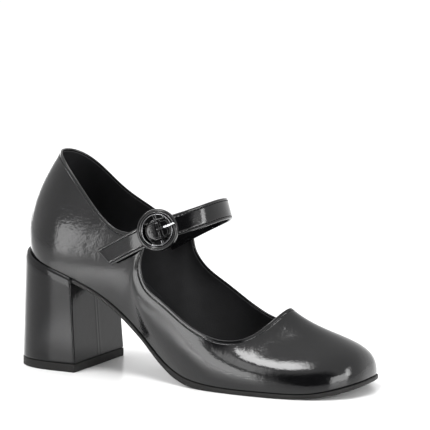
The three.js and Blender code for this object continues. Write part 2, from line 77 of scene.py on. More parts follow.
STRAP = [
    ((69.5, -33.4, 72.2), (-0.43, 0.2, 0.88)),
    ((81, -34.2, 78.3), (-0.44, 0.18, 0.88)),
    ((93.4, -35, 84.7), (-0.43, 0.15, 0.89)),
    ((106.2, -33.2, 90.7), (-0.4, 0.1, 0.91)),
    ((117.1, -27.8, 94.7), (-0.34, 0.08, 0.94)),
    ((125.8, -19, 98), (-0.29, 0.05, 0.955)),
    ((130.2, -6.5, 100.3), (-0.26, 0, 0.965)),
    ((130, 7, 100.2), (-0.26, 0, 0.965)),
    ((124.6, 19, 97.6), (-0.3, -0.04, 0.955)),
    ((113.8, 26.2, 92.8), (-0.36, -0.06, 0.93)),
    ((101.3, 27.9, 86.7), (-0.43, -0.08, 0.9)),
    ((90, 26.8, 80.6), (-0.46, -0.1, 0.88)),
    ((80, 25.5, 75), (-0.47, -0.12, 0.87))]
TAIL_SLANT, BUCKLE_ROW = 6.4, 3


# ------------------------------------------------------------------ curves
class Spline:
    """cubic spline with continuous curvature; closed when a period is given"""
    def __init__(s, t, v, period=None):
        t = np.asarray(t, float); v = np.asarray(v, float)
        v = v[:, None] if v.ndim == 1 else v
        s.period = period
        if period:
            t = np.append(t, t[0] + period); v = np.vstack([v, v[:1]])
        n = len(t); h = np.diff(t); A = np.zeros((n, n)); B = np.zeros((n, v.shape[1]))
        for i in range(1, n - 1):
            A[i, i - 1], A[i, i], A[i, i + 1] = h[i - 1], 2 * (h[i - 1] + h[i]), h[i]
            B[i] = 6 * ((v[i + 1] - v[i]) / h[i] - (v[i] - v[i - 1]) / h[i - 1])
        if period:
            A[0, 0], A[0, -1] = 1, -1
            A[-1, 0], A[-1, 1], A[-1, -2] = 2 * h[0], h[0], h[-1]; A[-1, -1] += 2 * h[-1]
            B[-1] = 6 * ((v[1] - v[0]) / h[0] - (v[-1] - v[-2]) / h[-1])
        else:
            A[0, 0] = A[-1, -1] = 1
        s.t, s.v, s.m, s.h = t, v, np.linalg.solve(A, B), h
    def __call__(s, x):
        x = np.asarray(x, float)
        if s.period: x = (x - s.t[0]) % s.period + s.t[0]
        i = np.clip(np.searchsorted(s.t, x, side="left") - 1, 0, len(s.t) - 2)
        h = s.h[i]; a = ((s.t[i + 1] - x) / h)[..., None]; b = ((x - s.t[i]) / h)[..., None]; h = h[..., None]
        return a * s.v[i] + b * s.v[i + 1] + ((a ** 3 - a) * s.m[i] + (b ** 3 - b) * s.m[i + 1]) * h * h / 6


def monotone(rows):
    xs, ys = np.array(rows, float).T; h = np.diff(xs); d = np.diff(ys) / h; m = np.zeros(len(xs))
    for i in range(1, len(xs) - 1):
        if d[i - 1] * d[i] > 0:
            w1, w2 = 2 * h[i] + h[i - 1], h[i] + 2 * h[i - 1]; m[i] = (w1 + w2) / (w1 / d[i - 1] + w2 / d[i])
    m[0], m[-1] = d[0], d[-1]
    def f(x):
        x = np.clip(np.asarray(x, float), xs[0], xs[-1]); i = np.clip(np.searchsorted(xs, x, side="left") - 1, 0, len(xs) - 2)
        t = (x - xs[i]) / h[i]
        return ys[i] * (2 * t**3 - 3 * t**2 + 1) + h[i] * m[i] * (t**3 - 2 * t**2 + t) + ys[i + 1] * (3 * t**2 - 2 * t**3) + h[i] * m[i + 1] * (t**3 - t**2)
    return f


def unit(a): return a / np.maximum(np.linalg.norm(a, axis=-1, keepdims=True), 1e-12)
def smooth(t): t = np.clip(t, 0, 1); return t * t * (3 - 2 * t)
def bump(x, c, w): return np.exp(-((x - c) / w) ** 2)


# ------------------------------------------------------------------ the last's outline and upper surface
_w = Spline([r[0] for r in WIDTH], [r[1:] for r in WIDTH])
_f = Spline([r[0] for r in FEATHER], [r[1] for r in FEATHER])
def featherZ(x): return _f(np.clip(x, HEEL_BACK - 4, TOE_TIP + 3))[..., 0]
bottomZ = monotone(BOTTOM)
def half_widths(x, e):
    x = np.asarray(x, float)
    a = np.clip((HEEL_BACK - e + HEEL_ROUND - x) / HEEL_ROUND, 0, 1)
    b = np.clip((x - (TOE_TIP + e - TOE_ROUND)) / TOE_ROUND, 0, 1)
    c = (1 - a ** HEEL_POWER) ** (1 / HEEL_POWER) * (1 - b ** TOE_POWER) ** (1 / TOE_POWER)
    w = _w(np.clip(x, HEEL_BACK, TOE_TIP)); return (w[..., 0] + e) * c, (w[..., 1] + e) * c
def _plan():
    N = 3000; u = np.arange(N + 1) / N; x = HEEL_BACK + (TOE_TIP - HEEL_BACK) * (1 - np.cos(np.pi * u)) / 2
    l, m = half_widths(x, 0); S = [np.stack([x, -l], -1), np.stack([x, m], -1)]; A = []
    for P in S:
        d = np.r_[0, np.cumsum(np.linalg.norm(np.diff(P, axis=0), axis=1))]; A.append(d / d[-1])
    M = 64; t = np.arange(M) / M; V = []
    for i in range(M):
        k, s = (0, 2 * i / M) if i <= M / 2 else (1, 2 - 2 * i / M)
        V.append([np.interp(s, A[k], S[k][:, 0]), np.interp(s, A[k], S[k][:, 1])])
    return Spline(t, V, 1.0)
plan = _plan()
_rows = [(r[0] / 2, r[1], r[3:]) for r in RIBS] + [(1 - r[0] / 2, r[2], r[3:]) for r in RIBS[-2:0:-1]]
topline = Spline([r[0] for r in _rows], [r[1] for r in _rows], 1.0)
rib_shape = Spline([r[0] for r in _rows], [r[2] for r in _rows], 1.0)
def upper_at(u, w):
    """u and w broadcast; points of the upper's outer surface, mm"""
    u, w = np.broadcast_arrays(np.asarray(u, float), np.asarray(w, float)); e = 1e-4
    p = plan(u); d = unit(plan(u + e) - plan(u - e)); z = np.zeros(u.shape)
    out = np.stack([d[..., 1], -d[..., 0], z], -1); F = np.stack([p[..., 0], p[..., 1], featherZ(p[..., 0])], -1)
    T = topline(u); r = rib_shape(u); up, o, back, drop, lean, fore = [r[..., i:i + 1] for i in range(6)]
    Z = np.array([0, 0, 1.0]); flat = (F - T) * np.array([1, 1, 0.0])
    P1 = F + out * o + Z * up; P2 = T + flat * back + out * lean - Z * drop - np.array([1.0, 0, 0]) * fore
    w = w[..., None]; v = 1 - w
    return v**3 * F + 3 * v * v * w * P1 + 3 * v * w * w * P2 + w**3 * T
def upper_normal(u, w):
    e = 1e-3; w0, w1 = np.maximum(w - e, 0), np.minimum(w + e, 1)
    return unit(np.cross(upper_at(u + e, w) - upper_at(u - e, w), upper_at(u, w1) - upper_at(u, w0)))


# ------------------------------------------------------------------ meshes
ALL = []
def make(name, V, F, mat, mslot, replaces=(), smooth_shade=True):
    V = (np.asarray(V, float).reshape(-1, 3) - FRAME_SHIFT) * 0.001
    me = bpy.data.meshes.new(name); me.from_pydata(V.tolist(), [], [tuple(f) for f in F]); me.validate(); me.update()
    if smooth_shade: me.polygons.foreach_set("use_smooth", [True] * len(me.polygons))
    o = bpy.data.objects.new(name, me); bpy.context.scene.collection.objects.link(o)
    me.materials.append(mat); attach(o, "root")
    if replaces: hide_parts(*replaces)
    ALL.append(o); return o
def grid_faces(na, nb, close_a, close_b, base=0, flip=False):
    F = []
    for a in range(na if close_a else na - 1):
        c = (a + 1) % na
        for b in range(nb if close_b else nb - 1):
            d = (b + 1) % nb; q = (base + a * nb + b, base + c * nb + b, base + c * nb + d, base + a * nb + d)
            F.append(q[::-1] if flip else q)
    return F
def hoop(name, P, mat, mslot, replaces=()):
    """closed ring of closed sections, P (na, nb, 3)"""
    return make(name, P, grid_faces(P.shape[0], P.shape[1], True, True), mat, mslot, replaces)
def loft(P, cap_centres=True):
    """closed sections in a row (n, m, 3) with both ends closed by fans round their mean"""
    n, m = P.shape[:2]; F = grid_faces(n, m, False, True); V = P.reshape(-1, 3)
    V = np.vstack([V, P[0].mean(0), P[-1].mean(0)]); c0, c1 = n * m, n * m + 1
    for b in range(m):
        d = (b + 1) % m; F.append((b, d, c0)); F.append(((n - 1) * m + d, (n - 1) * m + b, c1))
    return V, F
def loft_mesh(name, P, mat, mslot, replaces=()):
    V, F = loft(P); return make(name, V, F, mat, mslot, replaces)
def block(ni, nj, nk, P):
    """a block bent to shape; P takes arrays i, j, k from 0 to 1.  Equal corners are merged."""
    V, F, n = [], [], 0
    def side(A, flip):
        nonlocal n
        a, b = A.shape[:2]; V.append(A.reshape(-1, 3)); F.extend(grid_faces(a, b, False, False, n, flip)); n += a * b
    I, J, K = (np.arange(m + 1) / m for m in (ni, nj, nk))
    g = lambda i, j, k: P(*np.broadcast_arrays(i, j, k))
    side(g(I[:, None], J[None], 0.0), True); side(g(I[:, None], J[None], 1.0), False)
    side(g(I[:, None], 0.0, K[None]), False); side(g(I[:, None], 1.0, K[None]), True)
    side(g(0.0, J[:, None], K[None]), True); side(g(1.0, J[:, None], K[None]), False)
    V = np.vstack(V); key = np.round(V * 500).astype(np.int64)
    _, first, inv = np.unique(key, axis=0, return_index=True, return_inverse=True); inv = inv.ravel()
    out = []
    for f in F:
        q = [int(inv[v]) for v in f]; q = [v for a, v in enumerate(q) if v != q[a - 1]]
        if len(set(q)) >= 3: out.append(tuple(q))
    return V[first], out
def stitches(name, C, D, N, length, radius, mat, sink=0.3):
    """one mesh of thread stitches: centres, directions, outward normals (n, 3)"""
    D, N = unit(D), unit(N); S = unit(np.cross(D, N)); rows = [(-.5, .45), (-.42, .85), (-.2, 1), (.2, 1), (.42, .85), (.5, .45)]
    m = 7; V, F = [], []
    for c, d, n, s in zip(C, D, N, S):
        P = np.zeros((len(rows), m, 3))
        for a, (x, r) in enumerate(rows):
            ang = 2 * np.pi * np.arange(m) / m; arch = radius * (0.5 - 2 * abs(x) ** 2) * 0.6
            P[a] = c + d * x * length + n * (arch - radius * sink) + radius * r * (np.cos(ang)[:, None] * s + np.sin(ang)[:, None] * n)
        v, f = loft(P); b = sum(len(q) for q in V); V.append(v); F.extend(tuple(i + b for i in q) for q in f)
    return make(name, np.vstack(V), F, mat, "thread")
def spaced(P, gap, start=0.0, end=0.0, closed=False):
    """indices as fractions, points and directions evenly spaced along a polyline"""
    Q = np.vstack([P, P[:1]]) if closed else P
    d = np.r_[0, np.cumsum(np.linalg.norm(np.diff(Q, axis=0), axis=1))]; L = d[-1]
    n = int(round((L - start - end) / gap)); s = start + (np.arange(n) + 0.5) * (L - start - end) / n
    f = np.interp(s, d, np.arange(len(Q))); pt = lambda q: np.stack([np.interp(q, d, Q[:, k]) for k in range(3)], -1)
    return f, pt(s), unit(pt(s + 0.3) - pt(s - 0.3))


# ------------------------------------------------------------------ materials
def new_mat(name):
    m = bpy.data.materials.new(name); m.use_nodes = True; nt = m.node_tree; nt.nodes.clear()
    out = nt.nodes.new("ShaderNodeOutputMaterial"); b = nt.nodes.new("ShaderNodeBsdfPrincipled")
    nt.links.new(b.outputs[0], out.inputs[0]); tc = nt.nodes.new("ShaderNodeTexCoord")
    return m, nt, b, tc
def noise(nt, tc, scale, detail=2.0, rough=0.5, distort=0.0):
    n = nt.nodes.new("ShaderNodeTexNoise"); n.inputs["Scale"].default_value = scale; n.inputs["Detail"].default_value = detail
    n.inputs["Roughness"].default_value = rough; n.inputs["Distortion"].default_value = distort
    nt.links.new(tc.outputs["Object"], n.inputs["Vector"]); return n
def ramp(nt, src, lo, hi, c0, c1):
    r = nt.nodes.new("ShaderNodeValToRGB"); e = r.color_ramp.elements
    e[0].position, e[1].position = lo, hi; e[0].color, e[1].color = (*c0, 1), (*c1, 1); nt.links.new(src, r.inputs[0]); return r
def spread(nt, src, a, b, lo=0.0, hi=1.0):
    r = nt.nodes.new("ShaderNodeMapRange"); r.inputs[1].default_value, r.inputs[2].default_value = lo, hi
    r.inputs[3].default_value, r.inputs[4].default_value = a, b; nt.links.new(src, r.inputs[0]); return r.outputs[0]
def bumps(nt, layers):
    prev = None
    for src, dist, strength in layers:
        b = nt.nodes.new("ShaderNodeBump"); b.inputs["Distance"].default_value = dist; b.inputs["Strength"].default_value = strength
        nt.links.new(src, b.inputs["Height"])
        if prev: nt.links.new(prev, b.inputs["Normal"])
        prev = b.outputs[0]
    return prev
def patent(name, wave=1.0, crinkle=1.0, coat=0.4, spec=0.2):
    m, nt, b, tc = new_mat(name)
    c = ramp(nt, noise(nt, tc, 45, 3).outputs[0], 0.35, 0.7, (0.0018, 0.0018, 0.0020), (0.0040, 0.0040, 0.0044))
    nt.links.new(c.outputs[0], b.inputs["Base Color"])
    nt.links.new(spread(nt, noise(nt, tc, 320, 4).outputs[0], 0.10, 0.20), b.inputs["Roughness"])
    b.inputs["Specular IOR Level"].default_value = spec; b.inputs["Coat Weight"].default_value = coat; b.inputs["Coat Roughness"].default_value = 0.025; b.inputs["Coat IOR"].default_value = 1.5
    n = bumps(nt, [(noise(nt, tc, 40, 2, 0.5).outputs[0], 0.0009 * wave, 0.33),
                   (noise(nt, tc, 240, 3, 0.55, 0.4).outputs[0], 0.00017 * crinkle, 0.5),
                   (noise(nt, tc, 760, 2, 0.6).outputs[0], 0.000085 * crinkle, 0.6)])
    nt.links.new(n, b.inputs["Normal"]); nt.links.new(n, b.inputs["Coat Normal"]); return m
def leather(name, c0, c1, r0, r1, grain=1.0, sheen=0.0):
    m, nt, b, tc = new_mat(name)
    c = ramp(nt, noise(nt, tc, 60, 5).outputs[0], 0.3, 0.72, c0, c1); nt.links.new(c.outputs[0], b.inputs["Base Color"])
    nt.links.new(spread(nt, noise(nt, tc, 140, 4).outputs[0], r0, r1), b.inputs["Roughness"])
    v = nt.nodes.new("ShaderNodeTexVoronoi"); v.inputs["Scale"].default_value = 1500; v.feature = "F1"
    nt.links.new(tc.outputs["Object"], v.inputs["Vector"])
    n = bumps(nt, [(noise(nt, tc, 90, 3).outputs[0], 0.0004, 0.4), (v.outputs["Distance"], 0.00006 * grain, 0.6), (noise(nt, tc, 2600, 2).outputs[0], 0.00003 * grain, 0.5)])
    nt.links.new(n, b.inputs["Normal"]); b.inputs["Specular IOR Level"].default_value = 0.28; b.inputs["Sheen Weight"].default_value = sheen; b.inputs["Sheen Roughness"].default_value = 0.4; return m
def rubber(name, c0, c1, r0, r1):
    m, nt, b, tc = new_mat(name)
    c = ramp(nt, noise(nt, tc, 120, 6, 0.6).outputs[0], 0.3, 0.75, c0, c1); nt.links.new(c.outputs[0], b.inputs["Base Color"])
    nt.links.new(spread(nt, noise(nt, tc, 400, 4).outputs[0], r0, r1), b.inputs["Roughness"])
    n = bumps(nt, [(noise(nt, tc, 1400, 4, 0.65).outputs[0], 0.00007, 0.7), (noise(nt, tc, 160, 3).outputs[0], 0.00025, 0.3)])
    nt.links.new(n, b.inputs["Normal"]); b.inputs["Specular IOR Level"].default_value = 0.16; return m
def thread_mat(name):
    m, nt, b, tc = new_mat(name)
    c = ramp(nt, noise(nt, tc, 700, 3).outputs[0], 0.3, 0.7, (0.003, 0.003, 0.0032), (0.008, 0.008, 0.0085)); nt.links.new(c.outputs[0], b.inputs["Base Color"])
    w = nt.nodes.new("ShaderNodeTexWave"); w.inputs["Scale"].default_value = 900; w.inputs["Distortion"].default_value = 2.0
    nt.links.new(tc.outputs["Object"], w.inputs["Vector"])
    nt.links.new(bumps(nt, [(w.outputs[0], 0.00008, 0.7)]), b.inputs["Normal"]); b.inputs["Roughness"].default_value = 0.7; b.inputs["Specular IOR Level"].default_value = 0.12; return m
def metal_mat(name, c0=(0.72, 0.72, 0.74), c1=(0.82, 0.82, 0.83)):
    m, nt, b, tc = new_mat(name); b.inputs["Metallic"].default_value = 1.0
    c = ramp(nt, noise(nt, tc, 300, 3).outputs[0], 0.3, 0.7, c0, c1); nt.links.new(c.outputs[0], b.inputs["Base Color"])
    nt.links.new(spread(nt, noise(nt, tc, 900, 3).outputs[0], 0.10, 0.24), b.inputs["Roughness"])
    nt.links.new(bumps(nt, [(noise(nt, tc, 1200, 2).outputs[0], 0.00003, 0.4)]), b.inputs["Normal"]); return m
M_UP = patent("patent_upper"); M_HEEL = patent("patent_heel", 0.5, 0.6, 0.22, 0.12); M_STRAP = patent("patent_strap", 0.6, 0.7); M_RING = patent("patent_ring", 0.2, 0.5)
M_LINING = leather("lining_leather", (0.006, 0.006, 0.0065), (0.011, 0.011, 0.012), 0.42, 0.58)
M_SOCK = leather("sock_leather", (0.004, 0.004, 0.0045), (0.008, 0.008, 0.009), 0.20, 0.29, 0.6, 0.02)
M_SOLE = rubber("outsole_rubber", (0.009, 0.0088, 0.0086), (0.018, 0.0175, 0.017), 0.42, 0.6)
M_LIFT = rubber("lift_rubber", (0.008, 0.0078, 0.0076), (0.016, 0.0155, 0.015), 0.5, 0.68)
M_THREAD = thread_mat("thread_black"); M_METAL = metal_mat("prong_steel"); M_LIP = metal_mat("lip_steel", (0.13, 0.13, 0.135), (0.19, 0.19, 0.195)); M_BAR = metal_mat("bar_steel", (0.10, 0.10, 0.105), (0.16, 0.16, 0.165))

# ------------------------------------------------------------------ upper: patent shell and lining
NU = 620
U = np.arange(NU) / NU
WF = np.linspace(0, 1, 181)
PF = upper_at(U[:, None], WF[None])
_seg = np.linalg.norm(np.diff(PF, axis=1), axis=2)
DOWN = np.concatenate([np.cumsum(_seg[:, ::-1], 1)[:, ::-1], np.zeros((NU, 1))], 1)     # distance below the topline
TOTAL = DOWN[:, 0]
def w_at(dist):
    """rib parameter for distances below the topline, (NU, k)"""
    dist = np.broadcast_to(dist, (NU, np.shape(dist)[-1]))
    return np.stack([np.interp(dist[a], DOWN[a, ::-1], WF[::-1]) for a in range(NU)])
NEAR = np.array([0, .2, .42, .65, .88, 1.08, 1.27, 1.45, 1.6, 1.75, 1.9, 2.05, 2.25, 2.5, 2.9, 3.4, 4.1, 5.0, 6.0])
def rows_to_feather(near, n, last=0.0):
    f = (np.arange(1, n + 1) / n)[None]; return np.concatenate([np.broadcast_to(near, (NU, len(near))), near[-1] + (TOTAL[:, None] - last - near[-1]) * f], 1)
TAU = unit(upper_at(U, np.ones(NU)) - upper_at(U, np.full(NU, 0.985)))
N_TOP = upper_normal(U, np.ones(NU))
def wall(dist, depth):
    """points at a distance below the topline and a depth inside the outer surface"""
    w = w_at(dist); P = upper_at(U[:, None], w); n = upper_normal(U[:, None], w); return P - n * np.asarray(depth)[..., None], n
def rim(h, t): return topline(U) + TAU * h - N_TOP * t
SEAM_D, SEAM_W = 1.75, 0.30
def edge_relief(d):    # the folded collar edge stands a little proud, and the thread lies in a shallow trough
    return -0.10 * smooth(1 - d / 1.4) + 0.26 * np.exp(-((d - SEAM_D) / SEAM_W) ** 2)
d_out = rows_to_feather(NEAR, 74)
fold = d_out[:, ::-1]                                   # from the feather line up
P_out, _ = wall(fold, edge_relief(fold))
# the shell's top edge rolls over to the inside
top_over = [rim(0.20, 0.02), rim(0.40, 0.28), rim(0.45, 0.6), rim(0.34, 0.92), rim(0.02, 1.14)]
d_in = rows_to_feather(np.array([0.6, 1.5, 3.0]), 10)
P_in, _ = wall(d_in, np.full(d_in.shape, 1.22)); P_in[:, -1, 2] = featherZ(P_in[:, -1, 0]) + 0.02
upper_shell = hoop("upper_shell", np.concatenate([P_out, np.stack(top_over, 1), P_in], 1), M_UP, "patent", ("upper",))
d_ln = rows_to_feather(np.array([1.15, 1.7, 2.6, 4.0, 6.0]), 40)
P_li, _ = wall(d_ln, np.full(d_ln.shape, WALL)); P_li[:, -1, 2] = featherZ(P_li[:, -1, 0]) + 0.02
d_lo = rows_to_feather(np.array([1.1, 3.0]), 10)[:, ::-1]
P_lo, _ = wall(d_lo, np.full(d_lo.shape, 1.30)); P_lo[:, 0, 2] = featherZ(P_lo[:, 0, 0]) + 0.02
lining = hoop("lining", np.concatenate([P_lo, np.stack([rim(-0.78, 1.36), rim(-0.68, 1.52), rim(-0.74, 1.70)], 1), P_li], 1), M_LINING, "lining", ("upper",))
P_s, n_s = wall(np.full((NU, 1), SEAM_D), np.full((NU, 1), 0.16))
f, c, d = spaced(P_s[:, 0], 2.5, closed=True)
nn = np.stack([np.interp(f, np.arange(NU + 1), np.r_[n_s[:, 0, k], n_s[0, 0, k]]) for k in range(3)], -1)
stitches("collar_stitching", c, d, nn, 1.9, 0.20, M_THREAD)

# ------------------------------------------------------------------ sock, outsole, heel, top piece
def ease(t): return (1 - np.cos(np.pi * t)) / 2
def sock_pt(i, j, k):
    e = INSOLE_IN - 0.35; x = HEEL_BACK + e + (TOE_TIP - HEEL_BACK - 2 * e) * ease(i); l, m = half_widths(x, -e)
    s = np.abs(2 * j - 1); edge = np.minimum(l + m, 60) / 60
    top = 0.25 + INSOLE_THICK + 0.9 * edge * smooth((s - 0.72) / 0.28) ** 2 - 0.15
    return np.stack([x, -l + (l + m) * j, featherZ(x) + np.where(k > 0.5, top, 0.25)], -1)
make("sock", *block(170, 36, 1, sock_pt), M_SOCK, "sock", ("insole",))
def outsole_pt(i, j, k):
    side = (j == 0) | (j == 1)
    r = np.clip(np.minimum(k, 1 - k) / 0.22, 0, 1); e = WELT_OUT - 0.55 * (1 - np.sqrt(1 - (1 - r) ** 2))
    x = BREAST_X + (TOE_TIP + e - BREAST_X) * (i + (np.sin(np.pi / 2 * i) - i) * (0.55 + 0.45 * i)); l, m = half_widths(x, e)
    y = -l + (l + m) * j; zb, zt = bottomZ(x), featherZ(x) - GAP
    inset = np.minimum(y + l, m - y)                     # distance to the edge: a shallow channel runs round the underside
    groove = 0.35 * np.exp(-((inset - 4.2) / 0.55) ** 2) * (1 - smooth((k - 0.0) * 5)) * smooth((x - BREAST_X - 3) / 3)
    return np.stack([x, y, zb + (zt - zb) * k + groove], -1)
make("outsole_unit", *block(230, 96, 9, outsole_pt), M_SOLE, "sole_rubber", ("outsole",))
def d_loop(back, breast, half, r=1.3, nb=64, nc=7, ns=150):
    """closed plan outline of the heel, from the breast's middle, with rounded breast corners"""
    R = 34.0; x = np.linspace(breast - r, back, 1500) if False else back + (breast - r - back) * (1 - np.sin(np.pi / 2 * np.linspace(0, 1, 1500))) ** 1.0
    a = np.clip((back + R - x) / R, 0, 1); y = half * (1 - a ** HEEL_PLAN_POWER) ** (1 / HEEL_PLAN_POWER)
    side = np.stack([x, y], -1); dd = np.r_[0, np.cumsum(np.linalg.norm(np.diff(side, axis=0), axis=1))]; q = np.linspace(0, dd[-1], ns // 2 + 1)
    side = np.stack([np.interp(q, dd, side[:, 0]), np.interp(q, dd, side[:, 1])], -1)          # medial side from the breast to the back
    h0 = side[0, 1]; yb = np.linspace(0, h0 - r, nb // 2 + 1); ang = np.linspace(0, np.pi / 2, nc + 2)[1:-1]
    med = np.vstack([np.stack([np.full(len(yb), breast), yb], -1), np.stack([breast - r + r * np.cos(ang), h0 - r + r * np.sin(ang)], -1), side])
    lat = med[1:-1][::-1] * np.array([1, -1]); return np.vstack([med, lat])
def heel_rows():
    rows = []
    for z, g in ((0.0, 0.45), (0.12, 0.18), (0.35, 0.03)): rows.append(("foot", z, g))
    for f in np.linspace(0.02, 0.93, 26): rows.append(("mid", f, 0.0))
    for p in np.linspace(12, 90, 9): rows.append(("top", p * math.pi / 180, 0.0))
    P = []
    for kind, v, g in rows:
        if kind == "foot": f, s, drop = 0.0, 0.0, v
        elif kind == "mid": f, s, drop = v, 0.0, 0.0
        else: f, s, drop = 1.0, 1 - math.cos(v), 4.1 * (1 - math.sin(v))
        mx = lambda k: HEEL_FOOT[k] + (HEEL_TOP[k] - HEEL_FOOT[k]) * min(f, 0.93 + 0.07 * (kind == "top"))
        L = d_loop(mx("back") + HEEL_SHOULDER * s + g, mx("breast") - g - 0.35 * s ** 2, mx("half") - HEEL_SHOULDER * 0.55 * s - g)
        zt = featherZ(L[:, 0]) - GAP; z0 = LIFT_THICK + GAP; z = z0 + (zt - z0) * f if kind != "top" else zt - drop
        if kind == "foot": z = np.full(len(L), z0 + v)
        x, y = L[:, 0].copy(), L[:, 1]
        if kind != "foot":   # the cover's edges meet in a seam down the middle of the breast
            on = (L[:, 0] > mx("breast") - g - 0.9) & (np.abs(y) < 12)
            x = x + on * (-0.42 * np.exp(-((y - 0.25) / 0.35) ** 2) + 0.22 * np.exp(-((y + 0.75) / 0.8) ** 2) + 0.10 * np.exp(-((y - 1.3) / 0.9) ** 2))
        P.append(np.stack([x, y, z], -1))
    return np.array(P)
loft_mesh("heel_cover", heel_rows(), M_HEEL, "patent", ("heel",))
def lift_rows():
    P = []
    for z, g in ((0.0, 0.35), (0.10, 0.12), (0.32, 0.0), (1.6, 0.0), (3.0, 0.0), (4.1, 0.0), (4.75, 0.02), (4.92, 0.15), (5.0, 0.45)):
        L = d_loop(HEEL_FOOT["back"] + g, HEEL_FOOT["breast"] - g, HEEL_FOOT["half"] - g, 0.9); P.append(np.concatenate([L, np.full((len(L), 1), z)], 1))
    return np.array(P)
loft_mesh("top_piece", lift_rows(), M_LIFT, "sole_rubber", ("heel_lift",))

# ------------------------------------------------------------------ strap, buckle, tab and prong
_c = np.array([r[0] for r in STRAP], float); _d = np.r_[0, np.cumsum(np.linalg.norm(np.diff(_c, axis=0), axis=1))]
_sc = Spline(_d, [list(r[0]) + list(r[1]) for r in STRAP]); STRAP_LEN, STRAP_BUCKLE = _d[-1], _d[BUCKLE_ROW]
def beside_strap(s, c, n):
    s, c, n = np.broadcast_arrays(np.asarray(s, float), np.asarray(c, float), np.asarray(n, float)); e = 0.05
    def ext(x):                                      # straight on past either end
        q = _sc(np.clip(x, 0, STRAP_LEN)); over = (x - np.clip(x, 0, STRAP_LEN))[..., None]
        k = _sc(np.clip(x, 0, STRAP_LEN)); g = _sc(np.clip(x, 0.1, STRAP_LEN)) - _sc(np.clip(x, 0.1, STRAP_LEN) - 0.1)
        g = unit(g[..., :3]); q = q.copy(); q[..., :3] += g * over; return q
    q = ext(s); t = unit(ext(s + e)[..., :3] - ext(s - e)[..., :3]); w = q[..., 3:]
    w = unit(w - t * (w * t).sum(-1, keepdims=True)); return q[..., :3] + w * c[..., None] + np.cross(t, w) * n[..., None]
def strap_at(s, c, n):
    r, c = np.broadcast_arrays(np.asarray(s, float) - STRAP_BUCKLE, np.asarray(c, float))
    swell = smooth((8.0 - np.hypot(r, c)) / 2.6) * (1 - 0.55 * smooth((r - 0.4) / 2.4))
    return beside_strap(s, c, n + (-0.4 + 4.3 * swell) * np.exp(-(r / 16) ** 4))
B_AT = beside_strap(STRAP_BUCKLE, 0, 0); E2 = beside_strap(STRAP_BUCKLE, 1, 0) - B_AT; EN = beside_strap(STRAP_BUCKLE, 0, 1) - B_AT; E1 = np.cross(E2, EN)
def in_buckle(s, n, c): return B_AT + np.asarray(s)[..., None] * E1 + np.asarray(n)[..., None] * EN + np.asarray(c)[..., None] * E2
H, TH = STRAP_WIDTH / 2, STRAP_THICK / 2
SEAM_C = H - 1.7
def strap_section():
    """(c, n) round the strap: crowned outer face with two sewn troughs, rounded folded edges, flat back"""
    c = np.r_[np.linspace(-H + 0.75, H - 0.75, 73)]
    top = TH - 0.10 * (c / H) ** 4 - 0.28 * (bump(c, SEAM_C, 0.32) + bump(c, -SEAM_C, 0.32)) + 0.06 * smooth((np.abs(c) - SEAM_C - 0.5) / 0.4)
    a = np.linspace(0, np.pi, 13)[1:-1]
    right = np.stack([H - 0.75 + 0.75 * np.sin(a), TH * 0.97 * np.cos(a)], -1); cb = np.linspace(H - 0.75, -H + 0.75, 9)
    left = right[::-1] * np.array([-1, 1]); return np.vstack([np.stack([c, top], -1), right, np.stack([cb, np.full(9, -TH)], -1), left])
SEC = strap_section()[::-1]
NS = 460; SS = STRAP_LEN * np.arange(NS + 1) / NS
def tail_shift(s, c): return -TAIL_SLANT * (c / STRAP_WIDTH) * np.clip(1 - s / STRAP_LEN * 8, 0, 1)
_s2, _c2, _n2 = np.broadcast_arrays(SS[:, None], SEC[None, :, 0], SEC[None, :, 1])
round_end = np.sqrt(np.clip(1 - np.clip(1 - SS / 1.3, 0, 1) ** 2 * 0.42, 0, 1))[:, None]     # softens the tail's corners
thin_end = np.sqrt(np.clip(1 - np.clip(1 - SS / 0.7, 0, 1) ** 2 * 0.8, 0, 1))[:, None]
cc = np.sign(_c2) * np.minimum(np.abs(_c2), H * round_end + 0.0)
fold_line = 0.6 * bump(_s2 - STRAP_BUCKLE, 0.4 + 0.10 * cc, 0.34) * smooth((4.6 - np.abs(cc)) / 1.2) * (_n2 > 0.3)     # the strap creases where it turns over the bar
P_st = strap_at(_s2 + tail_shift(_s2, cc), cc, _n2 * thin_end - fold_line)
loft_mesh("strap_patent", P_st, M_STRAP, "patent", ("strap",))
for side, nm in ((1, "upper"), (-1, "lower")):
    s = np.linspace(2.3, STRAP_LEN - 3, 900); line = strap_at(s + tail_shift(s, SEAM_C * side), SEAM_C * side, TH - 0.12)
    f, c, d = spaced(line, 2.3); sv = np.interp(f, np.arange(900), s)
    n = unit(strap_at(sv, SEAM_C * side, 1.0) - strap_at(sv, SEAM_C * side, 0.0)); stitches("strap_stitching_" + nm, c, d, n, 1.75, 0.19, M_THREAD)
cl = np.linspace(-SEAM_C, SEAM_C, 60); line = strap_at(2.2 + tail_shift(2.2, cl), cl, TH - 0.02); f, c, d = spaced(line, 2.2, 0.3, 0.3)
n = unit(strap_at(2.2, 0.0, 1.0) - strap_at(2.2, 0.0, 0.0)); stitches("tail_stitching", c, d, np.repeat(n[None], len(c), 0), 1.7, 0.19, M_THREAD)
